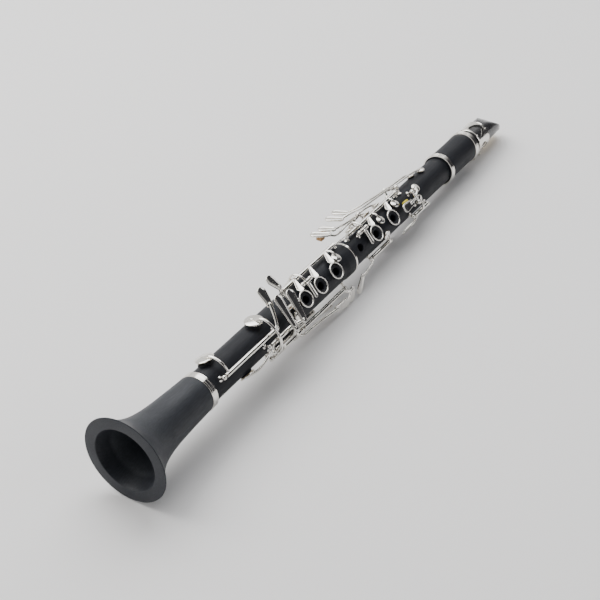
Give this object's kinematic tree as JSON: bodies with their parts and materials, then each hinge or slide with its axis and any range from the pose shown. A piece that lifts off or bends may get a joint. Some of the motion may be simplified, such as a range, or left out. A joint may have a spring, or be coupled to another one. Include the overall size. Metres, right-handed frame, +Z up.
{
  "type": "clarinet",
  "caption": "Boehm-system clarinet lying on its side, with flared bell, wood joints, nickel keywork on posts, barrel, ligature, reed and beak mouthpiece",
  "frame": {"origin": "under the middle of the instrument's box, on the table it lies on", "axes": "+X from the bell to the mouthpiece, +Z up, +Y to the side that the right-hand little finger keys point to"},
  "size_m": [0.6606, 0.0784, 0.0792],
  "materials": {
    "blackwood": "satin",
    "nickel": "polished",
    "cork": "matte",
    "ebonite": "polished",
    "cane": "matte"
  },
  "bodies": {
    "body": {"bell": "blackwood", "bell_ring": "nickel", "lower_joint": "blackwood", "middle_ring": "nickel", "bell_tenon_cork": "cork", "upper_joint": "blackwood", "middle_tenon_cork": "cork", "barrel_tenon_cork": "cork", "register_tube": "nickel", "thumb_rest": "nickel", "low_e_posts": "nickel", "low_f_posts": "nickel", "low_f_sharp_posts": "nickel", "low_a_flat_posts": "nickel", "left_lever_posts": "nickel", "left_f_lever_posts": "nickel", "lower_ring_posts": "nickel", "b_sliver_posts": "nickel", "upper_ring_posts": "nickel", "e_flat_sliver_posts": "nickel", "c_sharp_posts": "nickel", "thumb_ring_posts": "nickel", "throat_a_flat_posts": "nickel", "throat_a_posts": "nickel", "register_key_posts": "nickel", "lower_side_key_posts": "nickel", "upper_side_key_posts": "nickel"},
    "lower_ring_key": {"lower_ring_key": "nickel"},
    "b_f_sharp_key": {"b_f_sharp_key": "nickel"},
    "e_b_key": {"e_b_key": "nickel"},
    "f_c_key": {"f_c_key": "nickel"},
    "f_sharp_c_sharp_key": {"f_sharp_c_sharp_key": "nickel"},
    "a_flat_e_flat_key": {"a_flat_e_flat_key": "nickel"},
    "left_e_b_lever": {"left_e_b_lever": "nickel"},
    "left_f_lever": {"left_f_lever": "nickel"},
    "left_f_sharp_lever": {"left_f_sharp_lever": "nickel"},
    "first_ring_key": {"first_ring_key": "nickel"},
    "second_ring_key": {"second_ring_key": "nickel"},
    "thumb_ring_key": {"thumb_ring_key": "nickel"},
    "e_flat_b_flat_key": {"e_flat_b_flat_key": "nickel"},
    "c_sharp_g_sharp_key": {"c_sharp_g_sharp_key": "nickel"},
    "throat_a_flat_key": {"throat_a_flat_key": "nickel"},
    "throat_a_key": {"throat_a_key": "nickel"},
    "register_key": {"register_key": "nickel"},
    "side_key_1": {"side_key_1": "nickel"},
    "side_key_2": {"side_key_2": "nickel"},
    "side_key_3": {"side_key_3": "nickel"},
    "side_key_4": {"side_key_4": "nickel"},
    "barrel": {"barrel": "blackwood", "barrel_lower_ring": "nickel", "barrel_upper_ring": "nickel"},
    "mouthpiece": {"mouthpiece": "ebonite", "mouthpiece_cork": "cork", "reed": "cane", "ligature": "nickel"},
    "ligature_screw_lower": {"ligature_screw_lower": "nickel"},
    "ligature_screw_upper": {"ligature_screw_upper": "nickel"}
  },
  "joints": [
    {"name": "lower_ring_key_press", "type": "hinge", "parent": "body", "child": "lower_ring_key", "pos_m": [-0.09781, 0.00482, 0.05186], "axis": [0.9995, 0, -0.0315], "range_deg": [0, 4.3], "stiffness_Nm_per_rad": 0.05, "springref_deg": -17.19},
    {"name": "b_f_sharp_key_press", "type": "hinge", "parent": "body", "child": "b_f_sharp_key", "pos_m": [-0.07801, -0.00538, 0.05143], "axis": [0.9995, 0, -0.0315], "range_deg": [0, 8], "stiffness_Nm_per_rad": 0.05, "springref_deg": -17.19},
    {"name": "e_b_key_press", "type": "hinge", "parent": "body", "child": "e_b_key", "pos_m": [-0.21593, -0.01657, 0.04985], "axis": [0.9995, 0, -0.0315], "range_deg": [-6, 0], "stiffness_Nm_per_rad": 0.05, "springref_deg": 17.19},
    {"name": "f_c_key_press", "type": "hinge", "parent": "body", "child": "f_c_key", "pos_m": [-0.14947, -0.02105, 0.03162], "axis": [0.9995, 0, -0.0315], "range_deg": [-5.5, 0], "stiffness_Nm_per_rad": 0.05, "springref_deg": 17.19},
    {"name": "f_sharp_c_sharp_key_press", "type": "hinge", "parent": "body", "child": "f_sharp_c_sharp_key", "pos_m": [-0.15518, -0.02034, 0.04086], "axis": [0.9995, 0, -0.0315], "range_deg": [-6, 0], "stiffness_Nm_per_rad": 0.05, "springref_deg": 17.19},
    {"name": "a_flat_e_flat_key_press", "type": "hinge", "parent": "body", "child": "a_flat_e_flat_key", "pos_m": [-0.11492, -0.01092, 0.0487], "axis": [0.9995, 0, -0.0315], "range_deg": [-8, 0], "stiffness_Nm_per_rad": 0.05, "springref_deg": 17.19},
    {"name": "left_e_b_lever_press", "type": "hinge", "parent": "body", "child": "left_e_b_lever", "pos_m": [-0.14587, -0.01581, 0.01886], "axis": [0.9995, 0, -0.0315], "range_deg": [0, 7.5], "stiffness_Nm_per_rad": 0.05, "springref_deg": -17.19},
    {"name": "left_f_lever_press", "type": "hinge", "parent": "body", "child": "left_f_lever", "pos_m": [-0.14098, -0.0076, 0.01513], "axis": [0.9995, 0, -0.0315], "range_deg": [0, 5.5], "stiffness_Nm_per_rad": 0.05, "springref_deg": -17.19},
    {"name": "left_f_sharp_lever_press", "type": "hinge", "parent": "body", "child": "left_f_sharp_lever", "pos_m": [-0.09589, -0.01581, 0.01729], "axis": [0.9995, 0, -0.0315], "range_deg": [0, 7.5], "stiffness_Nm_per_rad": 0.05, "springref_deg": -17.19},
    {"name": "first_ring_key_press", "type": "hinge", "parent": "body", "child": "first_ring_key", "pos_m": [0.0613, 0.00201, 0.04638], "axis": [0.9995, 0, -0.0315], "range_deg": [0, 5], "stiffness_Nm_per_rad": 0.05, "springref_deg": -17.19},
    {"name": "second_ring_key_press", "type": "hinge", "parent": "body", "child": "second_ring_key", "pos_m": [0.01112, 0.00201, 0.04796], "axis": [0.9995, 0, -0.0315], "range_deg": [0, 5], "stiffness_Nm_per_rad": 0.05, "springref_deg": -17.19},
    {"name": "thumb_ring_key_press", "type": "hinge", "parent": "body", "child": "thumb_ring_key", "pos_m": [0.06893, 0.00233, 0.00924], "axis": [0.9995, 0, -0.0315], "range_deg": [0, 5], "stiffness_Nm_per_rad": 0.05, "springref_deg": -17.19},
    {"name": "e_flat_b_flat_key_press", "type": "hinge", "parent": "body", "child": "e_flat_b_flat_key", "pos_m": [0.02351, -0.0048, 0.04735], "axis": [0.9995, 0, -0.0315], "range_deg": [0, 8], "stiffness_Nm_per_rad": 0.05, "springref_deg": -17.19},
    {"name": "c_sharp_g_sharp_key_press", "type": "hinge", "parent": "body", "child": "c_sharp_g_sharp_key", "pos_m": [0.02527, -0.01683, 0.02059], "axis": [0.9995, 0, -0.0315], "range_deg": [0, 7], "stiffness_Nm_per_rad": 0.05, "springref_deg": -17.19},
    {"name": "throat_a_flat_key_press", "type": "hinge", "parent": "body", "child": "throat_a_flat_key", "pos_m": [0.10738, -0.01871, 0.02287], "axis": [0.9995, 0, -0.0315], "range_deg": [0, 7], "stiffness_Nm_per_rad": 0.05, "springref_deg": -17.19},
    {"name": "throat_a_key_press", "type": "hinge", "parent": "body", "child": "throat_a_key", "pos_m": [0.11412, -0.01503, 0.04003], "axis": [0.023, 0.682, 0.731], "range_deg": [-7, 0], "stiffness_Nm_per_rad": 0.05, "springref_deg": 17.19},
    {"name": "register_key_press", "type": "hinge", "parent": "body", "child": "register_key", "pos_m": [0.12331, 0.01451, 0.01399], "axis": [-0.0244, -0.6293, -0.7768], "range_deg": [-4, 0], "stiffness_Nm_per_rad": 0.05, "springref_deg": 17.19},
    {"name": "side_key_1_press", "type": "hinge", "parent": "body", "child": "side_key_1", "pos_m": [0.05006, 0.01732, 0.03882], "axis": [-0.027, 0.515, -0.8567], "range_deg": [-5, 0], "stiffness_Nm_per_rad": 0.05, "springref_deg": 17.19},
    {"name": "side_key_2_press", "type": "hinge", "parent": "body", "child": "side_key_2", "pos_m": [0.05006, 0.01732, 0.03882], "axis": [-0.027, 0.515, -0.8567], "range_deg": [-3.5, 0], "stiffness_Nm_per_rad": 0.05, "springref_deg": 17.19},
    {"name": "side_key_3_press", "type": "hinge", "parent": "body", "child": "side_key_3", "pos_m": [0.10825, 0.0103, 0.04401], "axis": [-0.0162, 0.8572, -0.5148], "range_deg": [-2, 0], "stiffness_Nm_per_rad": 0.05, "springref_deg": 17.19},
    {"name": "side_key_4_press", "type": "hinge", "parent": "body", "child": "side_key_4", "pos_m": [0.10825, 0.0103, 0.04401], "axis": [-0.0162, 0.8572, -0.5148], "range_deg": [-2, 0], "stiffness_Nm_per_rad": 0.05, "springref_deg": 17.19},
    {"name": "barrel_slide", "type": "slide", "parent": "body", "child": "barrel", "axis": [0.9995, 0, -0.0315], "range_m": [0, 0.0025]},
    {"name": "mouthpiece_turn", "type": "hinge", "parent": "barrel", "child": "mouthpiece", "pos_m": [0.25662, -0.00026, 0.02176], "axis": [0.9995, 0, -0.0315], "continuous": true},
    {"name": "ligature_screw_lower_turn", "type": "hinge", "parent": "mouthpiece", "child": "ligature_screw_lower", "pos_m": [0.26755, -0.00026, 0.00341], "axis": [0, 1, 0], "range_deg": [-180, 180]},
    {"name": "ligature_screw_upper_turn", "type": "hinge", "parent": "mouthpiece", "child": "ligature_screw_upper", "pos_m": [0.28054, -0.00026, 0.003], "axis": [0, 1, 0], "range_deg": [-180, 180]}
  ],
  "couplings": [
    {"joint": "left_e_b_lever_press", "follows": "e_b_key_press", "ratio": -1.2},
    {"joint": "left_f_lever_press", "follows": "f_c_key_press", "ratio": -0.9},
    {"joint": "left_f_sharp_lever_press", "follows": "f_sharp_c_sharp_key_press", "ratio": -1.2},
    {"joint": "second_ring_key_press", "follows": "lower_ring_key_press", "ratio": 1},
    {"joint": "first_ring_key_press", "follows": "thumb_ring_key_press", "ratio": 1}
  ]
}
